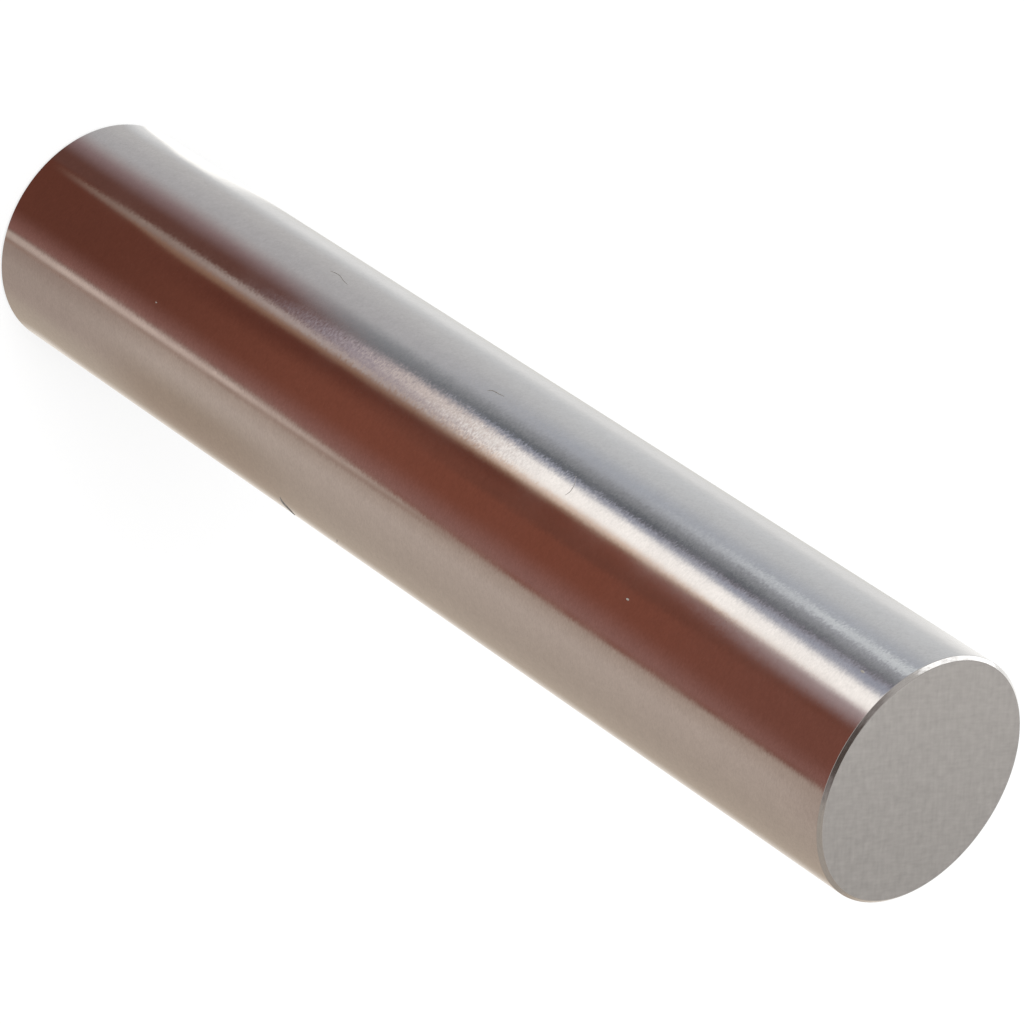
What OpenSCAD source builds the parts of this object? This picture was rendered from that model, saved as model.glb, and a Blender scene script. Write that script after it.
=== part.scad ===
// Plug gauge of the plain pin kind: one hardened steel pin, ground and lapped to its
// gauging diameter over the whole length, with both ends ground square to the axis.
// It stands on its lower end. +Z is the axis, and the origin is the centre of that end.
// All sizes are in millimetres.

/* [Gauge] */
// Gauging diameter of the lapped body
gauge_d = 10.0; // [2:0.01:25]
// Length over the two ground ends
gauge_l = 50.8; // [15:0.1:100]

/* [Edges] */
// Leg of the 45 degree edge break at each end, along the axis and across it
edge_break = 0.15; // [0.05:0.01:0.4]
// Radius left by the stone where an edge break meets the body and the end
edge_blend_r = 0.06; // [0.01:0.01:0.08]

/* [Hidden] */

// Bare ground steel
steel = [0.66, 0.65, 0.64];
// Steps of a full turn, round the axis and round a blend
axis_fn = 240;
blend_fn = 96;

gauge_r = gauge_d / 2;
// An edge break makes two corners of the end's square one, and each turns by this.
corner_turn = 45;
// From such a corner back to where its blend leaves the straight line
blend_reach = edge_blend_r * tan(corner_turn / 2);
// From such a corner in to the centre of its blend
blend_depth = edge_blend_r / cos(corner_turn / 2);
// How far the waste of a blend reaches outside its corner
waste_clear = edge_break / 2;

// Half section with sharp corners: the axis, both ends, their edge breaks and the body
module sharp_half_section() {
    polygon([
        [0, 0],
        [gauge_r - edge_break, 0],
        [gauge_r, edge_break],
        [gauge_r, gauge_l - edge_break],
        [gauge_r - edge_break, gauge_l],
        [0, gauge_l]
    ]);
}

// What a blend takes off a corner at the origin. The angle facing points straight out
// of the corner, halfway between its two sides.
module blend_waste(facing) {
    inner_x = -blend_reach * sin(corner_turn / 2);
    half_w = blend_reach * cos(corner_turn / 2);
    rotate(facing)
        difference() {
            polygon([
                [inner_x, -half_w],
                [waste_clear, -half_w],
                [waste_clear, half_w],
                [inner_x, half_w]
            ]);
            translate([-blend_depth, 0])
                circle(r = edge_blend_r, $fn = blend_fn);
        }
}

// The two blends of the upper edge break: at the end, then at the body
module upper_blend_wastes() {
    translate([gauge_r - edge_break, gauge_l])
        blend_waste(90 - corner_turn / 2);
    translate([gauge_r, gauge_l - edge_break])
        blend_waste(corner_turn / 2);
}

// Half section as ground and stoned, with the same corners at both ends
module half_section() {
    difference() {
        sharp_half_section();
        upper_blend_wastes();
        translate([0, gauge_l])
            mirror([0, 1])
                upper_blend_wastes();
    }
}

// The whole gauge: the half section turned about the axis
module gauge_pin() {
    color(steel)
        rotate_extrude($fn = axis_fn)
            half_section();
}

gauge_pin();
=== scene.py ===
import math

import bmesh
import bpy
from mathutils import Matrix, Vector


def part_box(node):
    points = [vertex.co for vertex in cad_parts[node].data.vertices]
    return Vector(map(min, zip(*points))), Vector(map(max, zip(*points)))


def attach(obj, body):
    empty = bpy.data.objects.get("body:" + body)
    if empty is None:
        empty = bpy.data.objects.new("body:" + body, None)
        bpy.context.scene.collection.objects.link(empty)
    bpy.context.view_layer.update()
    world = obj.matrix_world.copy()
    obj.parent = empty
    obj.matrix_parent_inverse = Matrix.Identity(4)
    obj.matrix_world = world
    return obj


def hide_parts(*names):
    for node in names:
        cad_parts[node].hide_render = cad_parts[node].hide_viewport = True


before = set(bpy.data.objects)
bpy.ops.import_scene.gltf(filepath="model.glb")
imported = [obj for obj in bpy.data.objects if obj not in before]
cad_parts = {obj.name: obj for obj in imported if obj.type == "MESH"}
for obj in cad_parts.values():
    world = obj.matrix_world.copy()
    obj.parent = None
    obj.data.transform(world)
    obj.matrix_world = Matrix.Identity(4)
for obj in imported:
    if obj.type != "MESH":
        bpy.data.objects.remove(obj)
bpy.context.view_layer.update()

# A plain plug gauge, a lapped steel gauge pin, standing on its lower end. Blender's units
# are metres, and sizes here are written in millimetres. An azimuth is in degrees round the
# pin's axis, from -Y, where the camera is, towards +X.

MM = 0.001
WHITE = (1.0, 1.0, 1.0)

pin_low, pin_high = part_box("gauge_pin")
RADIUS = max(pin_high.x, pin_high.y, -pin_low.x, -pin_low.y) / MM
LENGTH = (pin_high.z - pin_low.z) / MM


def linear(r, g, b, strength=1.0):
    """Scene light from a colour as it shows on a screen, 0 to 255 a channel."""
    def channel(v):
        v /= 255.0
        return v / 12.92 if v <= 0.04045 else ((v + 0.055) / 1.055) ** 2.4
    return tuple(strength * channel(v) for v in (r, g, b))


def round_pin(azimuth, distance, height):
    """The point at this azimuth, distance from the axis and height, in metres."""
    a = math.radians(azimuth)
    return Vector((distance * math.sin(a), -distance * math.cos(a), height)) * MM


def outward(azimuth):
    """The direction straight out of the axis at this azimuth."""
    return round_pin(azimuth, 1.0, 0.0).normalized()


def direction(azimuth, elevation):
    """The direction at this azimuth and so many degrees up."""
    a, e = math.radians(azimuth), math.radians(elevation)
    return Vector((math.sin(a) * math.cos(e), -math.cos(a) * math.cos(e), math.sin(e)))


def new_object(name, data):
    thing = bpy.data.objects.new(name, data)
    bpy.context.scene.collection.objects.link(thing)
    return thing


# ---------------------------------------------------------------- node trees


class Graph:
    """Builds a node tree. A number, a colour or another node's output can feed a socket."""

    def __init__(self, tree):
        tree.nodes.clear()
        self.tree = tree

    def feed(self, socket, value):
        if isinstance(value, bpy.types.NodeSocket):
            self.tree.links.new(value, socket)
        elif socket.type == "RGBA" and len(value) == 3:
            socket.default_value = (*value, 1.0)
        else:
            socket.default_value = value

    def add(self, kind, inputs=None, **settings):
        node = self.tree.nodes.new(kind)
        for name, value in settings.items():
            setattr(node, name, value)
        for name, value in (inputs or {}).items():
            self.feed(node.inputs[name], value)
        return node

    def math(self, operation, a, b=0.0):
        return self.add("ShaderNodeMath", {0: a, 1: b}, operation=operation).outputs[0]

    def vectors(self, operation, *values):
        node = self.add("ShaderNodeVectorMath", dict(enumerate(values)), operation=operation)
        return node.outputs["Value" if operation in ("LENGTH", "DOT_PRODUCT") else "Vector"]

    def scaled(self, vector, size):
        inputs = {0: vector, "Scale": size}
        return self.add("ShaderNodeVectorMath", inputs, operation="SCALE").outputs[0]

    def split(self, vector):
        """A vector's X, Y and Z, by name."""
        return self.add("ShaderNodeSeparateXYZ", {0: vector}).outputs

    def object_point(self):
        return self.add("ShaderNodeTexCoord").outputs["Object"]

    def azimuth(self, axes):
        """The azimuth, in degrees, of a point or direction split into X, Y and Z."""
        ahead = self.math("MULTIPLY", axes["Y"], -1.0)
        return self.math("DEGREES", self.math("ARCTAN2", axes["X"], ahead))

    def steps(self, value, low, high, at_low=0.0, at_high=1.0):
        """A smooth step from at_low, where value is low, to at_high, where it is high."""
        inputs = {
            "Value": value,
            "From Min": low,
            "From Max": high,
            "To Min": at_low,
            "To Max": at_high,
        }
        node = self.add("ShaderNodeMapRange", inputs, interpolation_type="SMOOTHSTEP")
        return node.outputs["Result"]

    def window(self, value, rise, fall):
        """1 between two smooth steps, each given by the values it runs between, and 0 outside."""
        return self.math("MULTIPLY", self.steps(value, *rise), self.steps(value, *fall, 1.0, 0.0))

    def blend(self, share, a, b):
        """Colour a, with this share of colour b."""
        node = self.add("ShaderNodeMix", data_type="RGBA")
        # The node has sockets of the same name for every type, so those for colours go by number.
        for number, value in ((0, share), (6, a), (7, b)):
            self.feed(node.inputs[number], value)
        return node.outputs[2]

    def noise(self, grain, turn=0.0, output="Fac"):
        """Noise whose grain is this many millimetres along X, Y and Z, turned about Z."""
        inputs = {
            "Vector": self.object_point(),
            "Rotation": (0.0, 0.0, math.radians(turn)),
            "Scale": [MM * size for size in grain],
        }
        grid = self.add("ShaderNodeMapping", inputs, vector_type="TEXTURE").outputs["Vector"]
        inputs = {"Vector": grid, "Scale": 1.0, "Detail": 2.0, "Roughness": 0.5}
        return self.add("ShaderNodeTexNoise", inputs).outputs[output]

    def mix_shaders(self, share, a, b):
        return self.add("ShaderNodeMixShader", {0: share, 1: a.outputs[0], 2: b.outputs[0]})

    def surface(self, shader):
        self.add("ShaderNodeOutputMaterial", {"Surface": shader.outputs[0]})


def new_material(name):
    material = bpy.data.materials.new(name)
    material.use_nodes = True
    return material, Graph(material.node_tree)


# ---------------------------------------------------------------- steel

STEEL = (0.56, 0.55, 0.54)
# Most of a noise's values lie between these.
NOISE_LOW, NOISE_HIGH = 0.3, 0.7

# Grains along X, Y and Z
LAPPING_GRAIN = (0.14, 0.14, 0.07)
BLOTCH_GRAIN = (0.35, 0.35, 0.3)
CLOUD_GRAIN = (1.5, 1.5, 0.8)
SHEEN_GRAIN = (4.0, 4.0, 2.5)
NICK_GRAIN = (0.25, 0.25, 0.05)
END_BLOTCH_GRAIN = (0.4, 0.4, 0.4)

# The body is more scratched in a band on the left of the camera's side, and in the streak
# that the band narrows to below. Each side is a range of azimuth. The band grows over a
# range of height. So does the streak, from STREAK_LEAST, and it fades again higher up.
BAND_SIDES = ((-50.0, -40.0), (-29.0, -22.0))
BAND_GROWS = (14.0, 26.0)
STREAK_SIDES = ((-27.0, -22.0), (-16.0, -12.0))
STREAK_GROWS = (14.0, 22.0)
STREAK_FADES = (26.0, 36.0)
STREAK_LEAST = 0.4

# How much each surface leans, and how rough it is. The body leans from the first value, where
# it is least scratched, to the second. A range of roughness follows a noise.
BODY_LEAN = (0.035, 0.13)
EDGE_LEAN = 0.12
END_LEAN = 0.10
BODY_ROUGHNESS = (0.11, 0.16)
EDGE_ROUGHNESS = 0.16
END_ROUGHNESS = (0.30, 0.38)

# Two sets of ground lines on the ends: grain along a line, across it and up, and their turn
END_LINES = ((0.8, 0.16, 1.0), 45.8)
END_CROSS_LINES = ((0.6, 0.13, 1.0), 113.3)
END_GROOVES = (0.7, 0.12, 1.0)
# Painted shade: the ends' colour is darker towards this azimuth and lighter away from it. The change is
# spread over a little more than the ends' width.
SHADED_SIDE = 117.0
SHADE_REACH = 1.2 * RADIUS


def ripple(graph, grain, strength, turn=0.0):
    """A normal that leans a little every way, by noise of this grain."""
    lean = graph.vectors("SUBTRACT", graph.noise(grain, turn, "Color"), (0.5, 0.5, 0.5))
    flat = graph.add("ShaderNodeNewGeometry").outputs["Normal"]
    return graph.vectors("NORMALIZE", graph.vectors("ADD", flat, graph.scaled(lean, strength)))


def toned(graph, *tones):
    """The steel's colour, made lighter and darker by pairs of a pattern and its strength."""
    level = 1.0
    for pattern, strength in tones:
        change = graph.math("MULTIPLY", graph.math("SUBTRACT", pattern, 0.5), strength)
        level = graph.math("ADD", level, change)
    return graph.scaled(STEEL, level)


def steel_shader(graph, colour, roughness, normal):
    inputs = {"Base Color": colour, "Metallic": 1.0, "Roughness": roughness, "Normal": normal}
    graph.surface(graph.add("ShaderNodeBsdfPrincipled", inputs))


def scratched_share(graph):
    """1 where the body is most scratched and 0 where it is least."""
    axes = graph.split(graph.object_point())
    azimuth = graph.azimuth(axes)
    height = graph.math("DIVIDE", axes["Z"], MM)
    band = graph.window(azimuth, *BAND_SIDES)
    band = graph.math("MULTIPLY", band, graph.steps(height, *BAND_GROWS))
    streak = graph.window(azimuth, *STREAK_SIDES)
    streak = graph.math("MULTIPLY", streak, graph.steps(height, *STREAK_GROWS, STREAK_LEAST, 1.0))
    streak = graph.math("MULTIPLY", streak, graph.steps(height, *STREAK_FADES, 1.0, 0.0))
    return graph.math("MAXIMUM", band, streak)


def lapped_body_material():
    """Ground and lapped steel: nearly a mirror, with short fine lines round the pin."""
    material, graph = new_material("lapped_steel")
    lines = graph.noise(LAPPING_GRAIN)
    blotches = graph.noise(BLOTCH_GRAIN)
    clouds = graph.noise(CLOUD_GRAIN)
    colour = toned(graph, (lines, 0.20), (blotches, 0.11), (clouds, 0.06))
    roughness = graph.steps(graph.noise(SHEEN_GRAIN), NOISE_LOW, NOISE_HIGH, *BODY_ROUGHNESS)
    lean = graph.steps(scratched_share(graph), 0.0, 1.0, *BODY_LEAN)
    steel_shader(graph, colour, roughness, ripple(graph, LAPPING_GRAIN, lean))
    return material


def edge_break_material():
    """The stoned edge: bright, with marks that follow the edge round."""
    material, graph = new_material("stoned_steel_edge")
    colour = toned(graph, (graph.noise(NICK_GRAIN), 0.2))
    steel_shader(graph, colour, EDGE_ROUGHNESS, ripple(graph, NICK_GRAIN, EDGE_LEAN))
    return material


def ground_end_material():
    """A fine ground end: satin, with two faint sets of crossing lines, and painted shade that darkens it
    towards one side.
    """
    material, graph = new_material("ground_steel_end")
    lines = graph.noise(*END_LINES)
    cross_lines = graph.noise(*END_CROSS_LINES)
    blotches = graph.noise(END_BLOTCH_GRAIN)
    # Painted shade: the colour darkens across the end towards one side, with no change in roughness.
    across = graph.vectors("DOT_PRODUCT", graph.object_point(), outward(SHADED_SIDE))
    painted_shade = graph.steps(across, -SHADE_REACH * MM, SHADE_REACH * MM, 1.0, 0.0)
    colour = toned(graph, (lines, 0.24), (cross_lines, 0.22), (blotches, 0.20), (painted_shade, 0.18))
    roughness = graph.steps(lines, NOISE_LOW, NOISE_HIGH, *END_ROUGHNESS)
    line_turn = END_LINES[1]
    steel_shader(graph, colour, roughness, ripple(graph, END_GROOVES, END_LEAN, line_turn))
    return material


# ---------------------------------------------------------------- the pin

EDGE_BREAK = 0.15
EDGE_BLEND = 0.06
# An edge break makes two corners of an end's square one, and each turns by this.
CORNER_TURN = 45.0
# Steps of a full turn, rows of faces along the body, rings of an end and steps of a blend
SEGMENTS = 288
BODY_ROWS = 40
END_RINGS = 12
BLEND_STEPS = 5
# Zones of the section, numbered as their materials are
BODY, EDGE, END = range(3)


def blend_arc(corner, facing):
    """(distance from the axis, height, normal's angle) along the blend of one corner."""
    half_turn = CORNER_TURN / 2
    depth = EDGE_BLEND / math.cos(math.radians(half_turn))
    out = math.radians(facing)
    centre = (corner[0] - depth * math.cos(out), corner[1] - depth * math.sin(out))
    for step in range(BLEND_STEPS + 1):
        turn = facing - half_turn + 2 * half_turn * step / BLEND_STEPS
        a = math.radians(turn)
        yield centre[0] + EDGE_BLEND * math.cos(a), centre[1] + EDGE_BLEND * math.sin(a), turn


def half_profile():
    """From mid height up to the upper end: (distance, height, normal's angle, zone) a point.

    The zone is that of the strip that ends at the point.
    """
    body_arc = list(blend_arc((RADIUS, LENGTH - EDGE_BREAK), CORNER_TURN / 2))
    end_arc = list(blend_arc((RADIUS - EDGE_BREAK, LENGTH), 90.0 - CORNER_TURN / 2))
    body_top, flat_edge = body_arc[0][1], end_arc[-1][0]
    middle = LENGTH / 2
    rows = BODY_ROWS // 2
    points = [(RADIUS, middle + (body_top - middle) * k / rows, 0.0, BODY) for k in range(rows + 1)]
    points += [(*p, EDGE) for p in body_arc[1:] + end_arc]
    points += [(flat_edge * (1 - k / END_RINGS), LENGTH, 90.0, END) for k in range(1, END_RINGS)]
    return points


def whole_profile():
    """The points of the section from the lower end to the upper one, and each strip's zone."""
    upper = half_profile()
    lower = [(r, LENGTH - z, -turn, zone) for r, z, turn, zone in upper[:0:-1]]
    zones = [p[3] for p in lower] + [p[3] for p in upper[1:]]
    return lower + upper, zones


def turned_rings(profile):
    """A ring of vertices for each point of the section, one after another, and their normals."""
    vertices, normals = [], []
    for r, z, turn, _ in profile:
        tilt = math.radians(turn)
        for s in range(SEGMENTS):
            azimuth = 360.0 * s / SEGMENTS
            vertices.append(round_pin(azimuth, r, z))
            normals.append(outward(azimuth) * math.cos(tilt) + Vector((0, 0, math.sin(tilt))))
    return vertices, normals


def strip_faces(row):
    """The faces between ring row and the next one up the section."""
    a, b = row * SEGMENTS, (row + 1) * SEGMENTS
    for s in range(SEGMENTS):
        t = (s + 1) % SEGMENTS
        yield a + s, a + t, b + t, b + s


def end_faces(first, centre, faces_up):
    """The faces between the ring that starts at vertex first and the centre of an end."""
    for s in range(SEGMENTS):
        t = (s + 1) % SEGMENTS
        yield (first + s, first + t, centre) if faces_up else (first + t, first + s, centre)


def gauge_pin_mesh():
    """The pin as a lathe mesh with exact normals, closed at both ends' centres."""
    profile, zones = whole_profile()
    vertices, normals = turned_rings(profile)
    faces, materials = [], []
    for row, zone in enumerate(zones):
        faces += strip_faces(row)
        materials += [zone] * SEGMENTS
    last_ring = (len(profile) - 1) * SEGMENTS
    for height, first, faces_up in ((0.0, 0, False), (LENGTH, last_ring, True)):
        faces += end_faces(first, len(vertices), faces_up)
        materials += [END] * SEGMENTS
        vertices.append(Vector((0, 0, height * MM)))
        normals.append(Vector((0, 0, 1 if faces_up else -1)))
    mesh = bpy.data.meshes.new("gauge_pin_finish")
    mesh.from_pydata(vertices, [], faces)
    mesh.polygons.foreach_set("material_index", materials)
    mesh.polygons.foreach_set("use_smooth", [True] * len(faces))
    mesh.normals_split_custom_set_from_vertices(normals)
    return mesh


def make_gauge_pin():
    mesh = gauge_pin_mesh()
    for material in (lapped_body_material(), edge_break_material(), ground_end_material()):
        mesh.materials.append(material)
    pin = new_object("gauge_pin_finish", mesh)
    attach(pin, "root")
    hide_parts("gauge_pin")


# ---------------------------------------------------------------- lint on the body

# Threads: thickness and the (azimuth, height) of each point, lying on the steel
THREADS = (
    (0.022, ((-51.1, 15.4), (-51.9, 15.65), (-52.0, 15.9), (-51.2, 16.1), (-50.2, 16.35), (-49.4, 16.7))),
    (0.026, ((-40.7, 26.4), (-42.2, 26.5), (-42.7, 26.7), (-42.8, 26.85), (-43.2, 27.15))),
    (0.020, ((-27.7, 33.0), (-25.5, 33.2), (-22.4, 33.35), (-19.9, 33.4), (-17.8, 33.35))),
    (0.050, ((70.5, 18.55), (75.0, 18.5), (79.9, 18.65), (85.9, 18.55))),
    (0.022, ((74.5, 22.0), (77.5, 21.85), (80.5, 21.6))),
)
THREAD_SIDES = 6
STEPS_PER_POINT = 6
# A thread thins towards its ends by the root of a sine that stops at THREAD_TAPER. Its middle
# line lies THREAD_LIFT of its own radii above the steel.
THREAD_TAPER = 0.25
THREAD_LIFT = 0.6
# Pale specks: length, azimuth and height
SPECKS = ((0.16, 4.8, 38.8), (0.10, 11.6, 10.0), (0.20, -24.6, 49.2), (0.05, -28.0, 33.0))
THREAD_COLOUR = (0.30, 0.28, 0.26)
SPECK_COLOUR = (0.29, 0.27, 0.24)


def matt_material(name, colour):
    material, graph = new_material(name)
    graph.surface(graph.add("ShaderNodeBsdfPrincipled", {"Base Color": colour, "Roughness": 0.8}))
    return material


def on_body(azimuth, height):
    return round_pin(azimuth, RADIUS, height)


def smooth_line(points):
    """A Catmull-Rom line through the points."""
    ends = [points[0], *points, points[-1]]
    line = []
    for k in range(1, len(ends) - 2):
        before, a, b, after = (Vector(p) for p in ends[k - 1:k + 3])
        for step in range(STEPS_PER_POINT):
            t = step / STEPS_PER_POINT
            bend = (2 * before - 5 * a + 4 * b - after) * t * t + (3 * a - before - 3 * b + after) * t ** 3
            line.append(a + (b - before) * t / 2 + bend / 2)
    return line + [Vector(points[-1])]


def thread_ring(form, line, k, thickness):
    """The ring of a thread's vertices round point k of its line."""
    azimuth, height = line[k]
    share = k / (len(line) - 1)
    radius = thickness / 2 * max(THREAD_TAPER, math.sin(math.pi * share)) ** 0.5
    ahead, behind = line[min(k + 1, len(line) - 1)], line[max(k - 1, 0)]
    along = (on_body(*ahead) - on_body(*behind)).normalized()
    out = outward(azimuth)
    across = along.cross(out)
    centre = round_pin(azimuth, RADIUS + THREAD_LIFT * radius, height)
    turns = [2 * math.pi * s / THREAD_SIDES for s in range(THREAD_SIDES)]
    return [form.verts.new(centre + (across * math.cos(a) + out * math.sin(a)) * radius * MM) for a in turns]


def add_thread(form, thickness, points):
    """A round thread that lies on the body and tapers at its ends."""
    line = smooth_line(points)
    rings = [thread_ring(form, line, k, thickness) for k in range(len(line))]
    for first, second in zip(rings, rings[1:]):
        for s in range(THREAD_SIDES):
            t = (s + 1) % THREAD_SIDES
            form.faces.new((first[s], first[t], second[t], second[s]))
    form.faces.new(rings[0][::-1])
    form.faces.new(rings[-1])


def add_speck(form, length, azimuth, height):
    """A flat crumb on the body, with its length along the pin."""
    half_width, half_length, half_height = length / 4, length / 2, length / 7
    flat = Matrix.Diagonal((half_width * MM, half_length * MM, half_height * MM, 1.0))
    facing = outward(azimuth).to_track_quat("Z", "Y").to_matrix().to_4x4()
    place = Matrix.Translation(on_body(azimuth, height)) @ facing
    bmesh.ops.create_icosphere(form, subdivisions=2, radius=1.0, matrix=place @ flat)


def lint_mesh():
    form = bmesh.new()
    for thickness, points in THREADS:
        add_thread(form, thickness, points)
    threads = len(form.faces)
    for speck in SPECKS:
        add_speck(form, *speck)
    form.faces.ensure_lookup_table()
    for face in form.faces:
        face.smooth = True
        face.material_index = int(face.index >= threads)
    bmesh.ops.recalc_face_normals(form, faces=form.faces)
    mesh = bpy.data.meshes.new("surface_lint")
    form.to_mesh(mesh)
    form.free()
    return mesh


def make_lint():
    """Short dark threads and pale crumbs that lie on the steel."""
    mesh = lint_mesh()
    mesh.materials.append(matt_material("dark_thread", THREAD_COLOUR))
    mesh.materials.append(matt_material("pale_crumb", SPECK_COLOUR))
    lint = new_object("surface_lint", mesh)
    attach(lint, "root")


# ---------------------------------------------------------------- floor

FLOOR_HALF = 3000.0
FLOOR_COLOUR = (0.9, 0.9, 0.9)
# The share of plain white in what the camera sees of the floor, and how bright that white is
FLOOR_GLOW = 0.65
FLOOR_WHITE = 1.06


def stage_object(name, mesh, material):
    mesh.materials.append(material)
    thing = new_object(name, mesh)
    return thing


def floor_material():
    """Pale paint. It shows white to the camera and in the steel, and keeps a soft shadow."""
    material, graph = new_material("pale_floor")
    path = graph.add("ShaderNodeLightPath").outputs
    paint = graph.add("ShaderNodeBsdfDiffuse", {"Color": FLOOR_COLOUR})
    white = graph.add("ShaderNodeEmission", {"Color": WHITE, "Strength": FLOOR_WHITE})
    reflected = graph.math("MAXIMUM", path["Is Glossy Ray"], path["Is Transmission Ray"])
    seen = graph.math("MULTIPLY", path["Is Camera Ray"], FLOOR_GLOW)
    graph.surface(graph.mix_shaders(graph.math("MAXIMUM", seen, reflected), paint, white))
    return material


def make_floor():
    half = FLOOR_HALF * MM
    corners = [(-half, -half, 0), (half, -half, 0), (half, half, 0), (-half, half, 0)]
    mesh = bpy.data.meshes.new("floor")
    mesh.from_pydata(corners, [], [(0, 1, 2, 3)])
    stage_object("floor", mesh, floor_material())


# ---------------------------------------------------------------- reflection cards

# The lapped steel mirrors paper and cards that lie flat round the pin, unseen by the camera.
# They are painted on one ring just above the floor.
RING_HEIGHT = 0.02
RING_SIDES = 96

# The paper's colour by fan line, which fan_line explains. It is white and grey on the left,
# and beige to cream on the right. Cards cover the gap between the two.
PAPER = (
    (-83, linear(229, 227, 222)),
    (-75, linear(250, 250, 249)),
    (-69, linear(255, 255, 255, 1.04)),
    (-65, linear(245, 246, 247)),
    (-62, linear(241, 243, 246)),
    (-50, linear(232, 234, 237)),
    (-41, linear(203, 208, 218)),
    (27, linear(199, 177, 163)),
    (36, linear(216, 198, 186)),
    (54, linear(204, 187, 173)),
    (73, linear(204, 188, 172)),
    (83, linear(247, 237, 226)),
)
PAPER_FROM, PAPER_TO = PAPER[0][0], PAPER[-1][0]
# Behind the pin all of it turns white, over this range of azimuth on both sides.
WHITE_BEHIND = (160.0, 180.0)

# Fan lines reach this far either way, and FAR_LEFT is further left than all of them.
FAN_LIMIT = 105.0
FAR_LEFT = -200.0
# Well round the sides fan lines bend out further: the number of a point lags by the cube of
# itself over LAG_FAN. The lag is full at LAG_RADIUS. Outwards it falls off by LAG_POWER, and
# inwards to LAG_LEAST, over the range of radius LAG_GROWS.
LAG_FAN = 41.5
LAG_RADIUS = 7.7
LAG_POWER = 0.7
LAG_GROWS = (4.0, 7.0)
LAG_LEAST = 0.3

# Ranges of radius for a card that starts at the pin and for one that has no outer end. The
# first lies inside the pin, and the second is far out on the floor.
FROM_PIN = (0.0, 1.0)
NO_END = (900.0, 901.0)


def near_pin(start, end):
    """The window of a card that starts at the pin and fades out over this range of radius."""
    return FROM_PIN, (start, end)


def away_from_pin(start, end):
    """The window of a card that fades in over this range of radius and has no outer end."""
    return (start, end), NO_END


def fan_line(graph, azimuth, radius):
    """The number of the fan line through each point of the floor.

    A fan line leaves the pin at the azimuth that is its number and bends out to twice that,
    so the round steel mirrors it as a straight line along the pin. Well round the sides it
    bends out a little further.
    """
    widening = graph.math("SUBTRACT", 2.0, graph.math("DIVIDE", RADIUS, radius))
    fan = graph.math("DIVIDE", azimuth, widening)
    fan = graph.math("MINIMUM", graph.math("MAXIMUM", fan, -FAN_LIMIT), FAN_LIMIT)
    outer = graph.math("DIVIDE", LAG_RADIUS, graph.math("MAXIMUM", radius, LAG_RADIUS))
    outer = graph.math("POWER", outer, LAG_POWER)
    inner = graph.steps(radius, *LAG_GROWS, LAG_LEAST, 1.0)
    lag = graph.math("POWER", graph.math("DIVIDE", fan, LAG_FAN), 3.0)
    lag = graph.math("MULTIPLY", lag, graph.math("MULTIPLY", outer, inner))
    return graph.math("SUBTRACT", fan, lag)


def paper_colour(graph, fan):
    span = PAPER_TO - PAPER_FROM
    along = graph.math("DIVIDE", graph.math("SUBTRACT", fan, PAPER_FROM), span)
    ramp = graph.add("ShaderNodeValToRGB", {0: along})
    stops = ramp.color_ramp.elements
    stops.remove(stops[1])
    for k, (line, colour) in enumerate(PAPER):
        stop = stops[0] if k == 0 else stops.new((line - PAPER_FROM) / span)
        stop.position = (line - PAPER_FROM) / span
        stop.color = (*colour, 1.0)
    return ramp.outputs["Color"]


class Cards:
    """The paper round the pin and the cards laid on it, one over another."""

    def __init__(self, graph):
        axes = graph.split(graph.add("ShaderNodeNewGeometry").outputs["Position"])
        flat = graph.add("ShaderNodeCombineXYZ", {0: axes["X"], 1: axes["Y"]}).outputs[0]
        self.graph = graph
        self.azimuth = graph.azimuth(axes)
        self.radius = graph.math("DIVIDE", graph.vectors("LENGTH", flat), MM)
        self.fan = fan_line(graph, self.azimuth, self.radius)
        self.colour = paper_colour(graph, self.fan)

    def lay(self, colour, low, high, soft, window=None):
        """Lays a card over what is there.

        low and high are the fan lines of its two sides. A side is one number, or (near, far,
        near radius, far radius) if it leaves its line. soft is how wide each side fades.
        window is the range of radius over which the card fades in, then the one over which it
        fades out.
        """
        graph = self.graph
        share = 1.0
        for side, fade, from_to in ((low, soft[0], (0.0, 1.0)), (high, soft[1], (1.0, 0.0))):
            if isinstance(side, tuple):
                near, far, near_radius, far_radius = side
                side = graph.steps(self.radius, near_radius, far_radius, near, far)
            edge = (graph.math("SUBTRACT", side, fade), graph.math("ADD", side, fade))
            share = graph.math("MULTIPLY", share, graph.steps(self.fan, *edge, *from_to))
        if window:
            share = graph.math("MULTIPLY", share, graph.window(self.radius, *window))
        self.colour = graph.blend(share, self.colour, colour)


def lay_far_left_white(cards):
    """White on the far left, brightest close to the pin."""
    cards.lay(linear(255, 254, 251, 1.6), FAR_LEFT, (-72.5, -66.0, 5.2, 7.4), (1, 2.5),
              near_pin(7.5, 11.5))
    cards.lay(linear(255, 254, 252, 1.3), FAR_LEFT, -71, (1, 6), away_from_pin(60.0, 78.0))


def lay_side_papers(cards):
    """Darker paper: grey on the left and beige on the right, close to the pin and far from it."""
    cards.lay(linear(222, 220, 220), -62, -30, (5, 1), near_pin(14.0, 45.0))
    cards.lay(linear(211, 209, 211), -50, -38, (8, 3), near_pin(14.0, 45.0))
    cards.lay(linear(190, 170, 153), 45, 72, (8, 8), ((9.0, 14.0), (18.0, 28.0)))
    cards.lay(linear(195, 176, 165), 28, 55, (1, 6), near_pin(7.0, 17.0))
    cards.lay(linear(183, 161, 150), 24, 34, (1, 5), near_pin(7.0, 17.0))
    cards.lay(linear(195, 175, 163), 24, 44, (2, 7), away_from_pin(69.0, 76.0))


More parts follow.
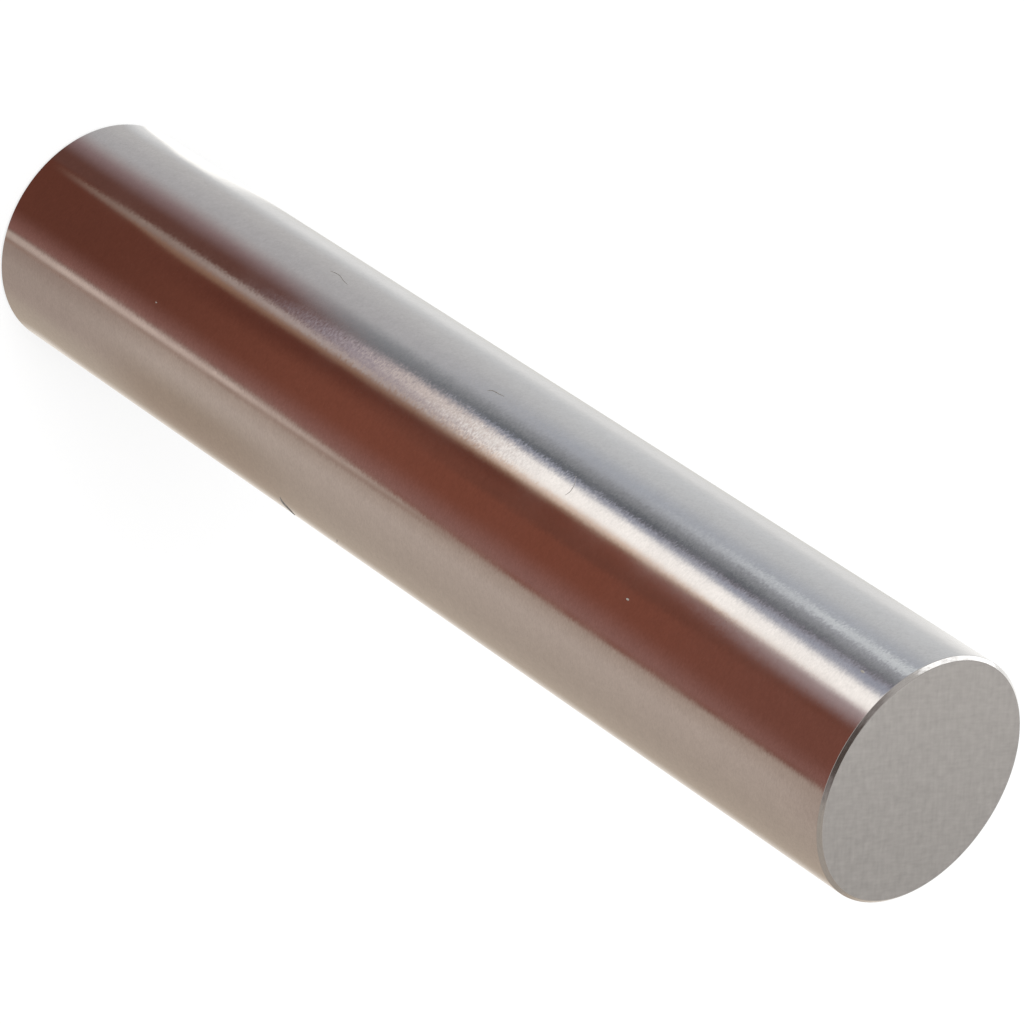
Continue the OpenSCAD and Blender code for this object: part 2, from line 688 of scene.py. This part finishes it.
def lay_left_strips(cards):
    """A grey strip on the left with a dark one on it, and brown over both close to the pin."""
    cards.lay(linear(162, 164, 169), (-36, -32.0, 50.0, 76.0), -20, (4, 1), away_from_pin(16.0, 26.0))
    cards.lay(linear(104, 109, 116), (-30.4, -27.9, 50.0, 76.0), -23, (2.6, 2), away_from_pin(22.0, 38.0))
    cards.lay(linear(164, 138, 139), (-37, -35.6, 12.0, 18.0), -15, (6, 2), near_pin(18.0, 27.0))
    cards.lay(linear(118, 78, 69), -28.6, -15, (5, 2), near_pin(21.0, 29.0))


def lay_brown_wedge(cards):
    """The brown wedge in front, with a pink right edge and darker stripes on the left."""
    graph = cards.graph
    near_brown, mid_brown, far_brown = linear(119, 69, 56), linear(147, 86, 69), linear(140, 87, 74)
    brown = graph.blend(graph.steps(cards.radius, 8.0, 32.0), near_brown, mid_brown)
    brown = graph.blend(graph.steps(cards.radius, 48.0, 72.0), brown, far_brown)
    cards.lay(brown, -18, (21.9, 26.5, 18.0, 48.0), (1.5, 1.5))
    cards.lay(linear(165, 118, 110), (17.0, 22.0, 50.0, 76.0), (21.9, 24.8, 18.0, 48.0), (7.5, 1.5))
    cards.lay(linear(115, 65, 53), -18, (-2.5, -5, 20.0, 34.0), (1.5, 5), ((10.0, 20.0), (38.0, 54.0)))
    cards.lay(linear(132, 80, 66), -7, 0.5, (5, 1.5), away_from_pin(27.0, 43.0))


def lay_bright_strip(cards):
    """The bright strip left of the wedge: thin and warm near the pin, then mauve, then white."""
    cards.lay(linear(168, 128, 105), (-17, -14.5, 7.0, 12.0), (-15.5, -11.3, 7.0, 16.0), (1, 1.5),
              away_from_pin(5.0, 12.0))
    cards.lay(linear(172, 148, 137), (-17.2, -18.0, 7.0, 13.0), -14.5, (1, 1.5), away_from_pin(5.0, 11.0))
    cards.lay(linear(220, 203, 198), -17.7, -14.2, (1.5, 1.5), away_from_pin(9.0, 27.0))
    cards.lay(linear(190, 177, 188), (-23, -26, 20.0, 29.0), -17.5, (3, 2), away_from_pin(18.0, 29.0))
    cards.lay(linear(196, 174, 176), -12, (-9.5, -5, 52.0, 70.0), (1, 4), away_from_pin(46.0, 76.0))
    cards.lay(linear(186, 190, 206), (-28, -25.3, 36.0, 62.0), -19, (1.5, 1), away_from_pin(30.0, 38.0))
    cards.lay(linear(248, 232, 225), -25.5, -19, (2, 2), ((26.0, 31.5), (36.0, 43.0)))
    cards.lay(linear(255, 226, 205, 1.05), -18, (-13.1, -12.4, 38.0, 60.0), (1.5, 1.4),
              away_from_pin(32.0, 42.0))
    cards.lay(linear(255, 250, 246, 1.6), (-24.6, -19.6, 36.0, 80.0), (-15.7, -10.9, 46.0, 77.0), (2, 1.8),
              away_from_pin(32.0, 43.0))


def lay_thin_lines(cards):
    """A thin dark line and a light one on the wedge's right, and a light one on the left."""
    cards.lay(linear(178, 149, 136), 26.4, 28.3, (0.8, 1), near_pin(33.0, 44.0))
    cards.lay(linear(244, 220, 208), (23.2, 24.8, 14.0, 30.0), 26.0, (1, 0.9), ((0.0, 11.0), (22.0, 38.0)))
    cards.lay(linear(246, 251, 255, 1.06), -39.5, (-35.5, -34.5, 60.0, 76.0), (2, 1.5),
              away_from_pin(42.0, 72.0))


def cards_material():
    material, graph = new_material("reflection_cards")
    cards = Cards(graph)
    lay_far_left_white(cards)
    lay_side_papers(cards)
    lay_left_strips(cards)
    lay_brown_wedge(cards)
    lay_bright_strip(cards)
    lay_thin_lines(cards)
    behind = graph.steps(graph.math("ABSOLUTE", cards.azimuth), *WHITE_BEHIND)
    colour = graph.blend(behind, cards.colour, WHITE)
    graph.surface(graph.add("ShaderNodeEmission", {"Color": colour, "Strength": 1.0}))
    return material


def make_cards():
    """A flat ring from the pin's side to the floor's edge, which only the steel sees."""
    rings = []
    for distance in (RADIUS, FLOOR_HALF):
        rings += [round_pin(360 * k / RING_SIDES, distance, RING_HEIGHT) for k in range(RING_SIDES)]
    faces = []
    for k in range(RING_SIDES):
        after = (k + 1) % RING_SIDES
        faces.append((k, after, RING_SIDES + after, RING_SIDES + k))
    mesh = bpy.data.meshes.new("reflection_cards")
    mesh.from_pydata(rings, [], faces)
    ring = stage_object("reflection_cards", mesh, cards_material())
    ring.visible_camera = False
    ring.visible_diffuse = False
    ring.visible_shadow = False
    ring.visible_transmission = False


# ---------------------------------------------------------------- camera

VIEW_TARGET = Vector((0.1, 0.0, 27.6)) * MM
VIEW_DISTANCE = 209.16 * MM
VIEW_ELEVATION = 40.33
VIEW_ROLL = 123.63
LENS = 189.5
SENSOR = 36.0
CLIP_START = 10.0


def make_camera():
    """The camera in front of the pin, above it, rolled so that the pin runs down to the right."""
    camera = new_object("camera", bpy.data.cameras.new("camera"))
    back = direction(0.0, VIEW_ELEVATION)
    level = Vector((1.0, 0.0, 0.0))
    upright = back.cross(level)
    roll = math.radians(VIEW_ROLL)
    right = level * math.cos(roll) + upright * math.sin(roll)
    up = back.cross(right)
    turned = Matrix((right, up, back)).transposed().to_4x4()
    camera.matrix_world = Matrix.Translation(VIEW_TARGET + back * VIEW_DISTANCE) @ turned
    camera.data.lens = LENS
    camera.data.sensor_width = SENSOR
    camera.data.clip_start = CLIP_START * MM
    bpy.context.scene.camera = camera


# ---------------------------------------------------------------- light

# How bright the plain room is that lights the floor and the lint
ROOM_LEVEL = 0.75

# What the steel sees of the room, and the soft-edged panels over it: colour, azimuths,
# elevations, how wide the sides fade, and slope, in degrees up for each one round
STUDIO_COLOUR = (0.64, 0.61, 0.585)
PANELS = (
    ((0.53, 0.475, 0.42), (60, 162), (-20, 46), 10, 0.0),
    ((0.27, 0.23, 0.22), (-50, 66), (26, 58), 12, 0.0),
    ((0.09, 0.065, 0.055), (-16, 44), (38, 62), 10, 0.0),
    ((2.3, 2.3, 2.3), (-150, -84), (78, 91), 4, 0.6),
)

SOFTBOX_SIZE = 600.0
SOFTBOX_DISTANCE = 900.0
SOFTBOX_AZIMUTH = -15.0
SOFTBOX_ELEVATION = 62.0
SOFTBOX_WATTS = 5.0


def studio_colour(graph):
    """The room's colour with the panels over it, by the direction it is seen in."""
    axes = graph.split(graph.add("ShaderNodeTexCoord").outputs["Generated"])
    azimuth = graph.azimuth(axes)
    elevation = graph.math("DEGREES", graph.math("ARCSINE", axes["Z"]))
    colour = STUDIO_COLOUR
    for paint, azimuths, elevations, soft, rise in PANELS:
        level = graph.math("SUBTRACT", elevation, graph.math("MULTIPLY", azimuth, rise))
        share = 1.0
        for angle, (low, high) in ((azimuth, azimuths), (level, elevations)):
            span = graph.window(angle, (low - soft, low + soft), (high - soft, high + soft))
            share = graph.math("MULTIPLY", share, span)
        colour = graph.blend(share, colour, paint)
    return colour


def make_world():
    """White to the camera, a plain soft room to the floor, and a studio to the steel."""
    world = bpy.data.worlds.new("studio")
    bpy.context.scene.world = world
    world.use_nodes = True
    graph = Graph(world.node_tree)
    path = graph.add("ShaderNodeLightPath").outputs
    room = graph.add("ShaderNodeBackground", {"Color": WHITE, "Strength": ROOM_LEVEL})
    studio = graph.add("ShaderNodeBackground", {"Color": studio_colour(graph), "Strength": 1.0})
    white = graph.add("ShaderNodeBackground", {"Color": WHITE, "Strength": 1.0})
    lit = graph.mix_shaders(path["Is Glossy Ray"], room, studio)
    seen = graph.mix_shaders(path["Is Camera Ray"], lit, white)
    graph.add("ShaderNodeOutputWorld", {"Surface": seen.outputs[0]})


def make_softbox():
    lamp = bpy.data.lights.new("softbox", "AREA")
    lamp.shape = "SQUARE"
    lamp.size = SOFTBOX_SIZE * MM
    lamp.energy = SOFTBOX_WATTS
    softbox = new_object("softbox", lamp)
    away = direction(SOFTBOX_AZIMUTH, SOFTBOX_ELEVATION)
    softbox.location = VIEW_TARGET + away * SOFTBOX_DISTANCE * MM
    softbox.rotation_euler = away.to_track_quat("Z", "Y").to_euler()
    softbox.visible_glossy = False


# ---------------------------------------------------------------- the scene

make_gauge_pin()
make_lint()
make_floor()
make_cards()
make_world()
make_softbox()
make_camera()

bpy.context.scene.view_settings.view_transform = "Standard"
